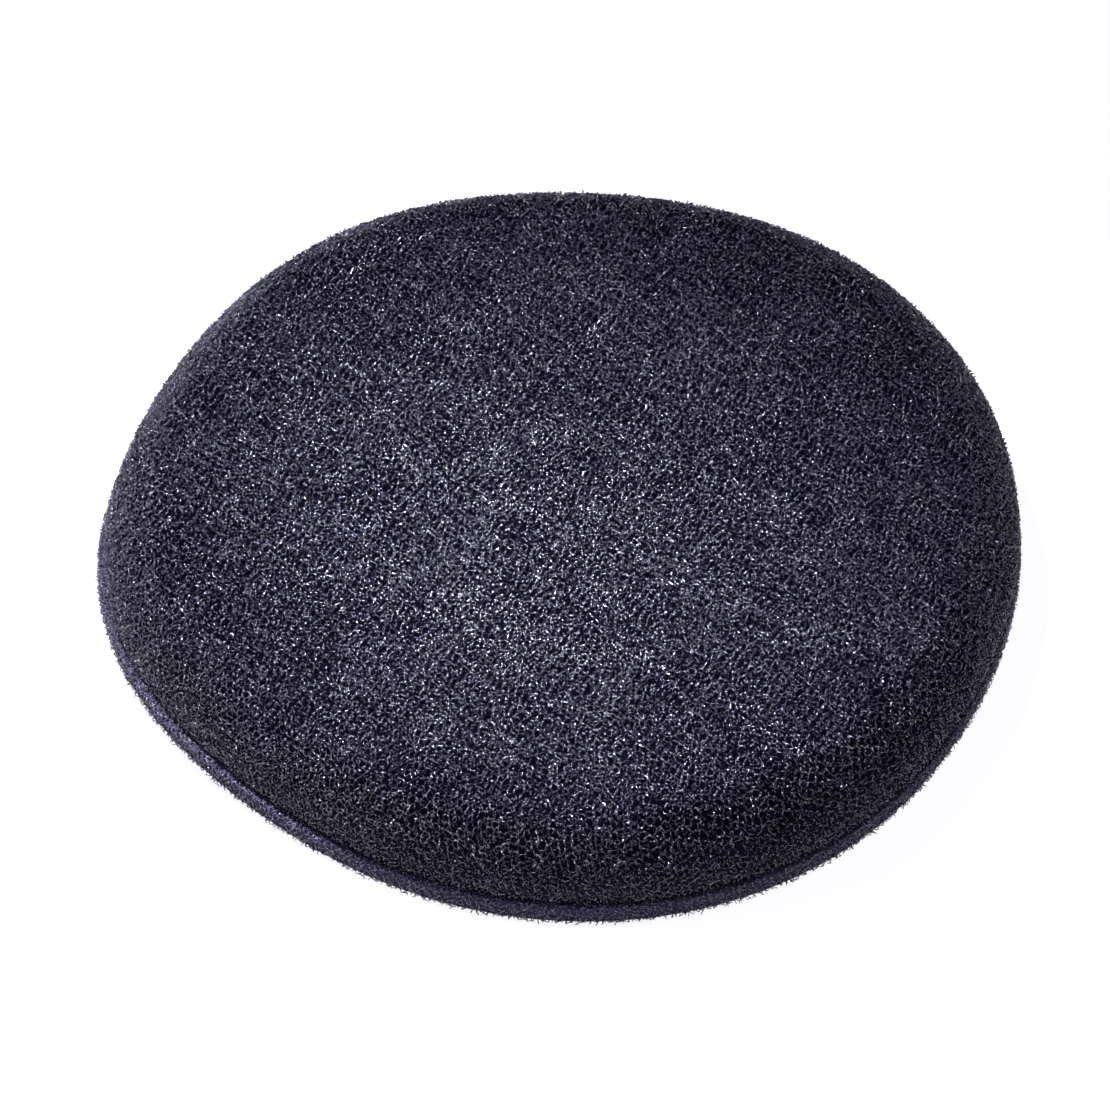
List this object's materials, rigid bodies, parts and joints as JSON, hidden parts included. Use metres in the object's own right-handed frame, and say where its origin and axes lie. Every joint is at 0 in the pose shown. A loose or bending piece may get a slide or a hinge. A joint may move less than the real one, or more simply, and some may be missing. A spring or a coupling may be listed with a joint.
{
  "type": "polishing pad",
  "caption": "Round open-cell foam polishing pad with a crowned face, a soft rolled shoulder, an open seam near the lower rim and a flat loop backing. The face springs back when pressed.",
  "frame": {"origin": "centre of the loop backing's resting face", "axes": "+Z out of the working face, along the pad's axis; X and Y lie in the pad's plane and are free, because the pad is round"},
  "size_m": [0.08, 0.08, 0.0113],
  "materials": {
    "cell_foam": "matte",
    "core_foam": "matte",
    "adhesive": "satin",
    "loop_cloth": "matte"
  },
  "bodies": {
    "backing": {"back_foam": "cell_foam", "core_foam": "core_foam", "core_film": "adhesive", "back_film": "adhesive", "seam_glue": "adhesive", "loop_backing": "loop_cloth"},
    "face": {"cover_foam": "cell_foam", "cover_film": "adhesive"}
  },
  "joints": [
    {"name": "press", "type": "slide", "parent": "backing", "child": "face", "axis": [0, 0, -1], "range_m": [0, 0.0022], "stiffness_N_per_m": 5000, "deforming": ["cover_foam", "core_foam"]}
  ]
}
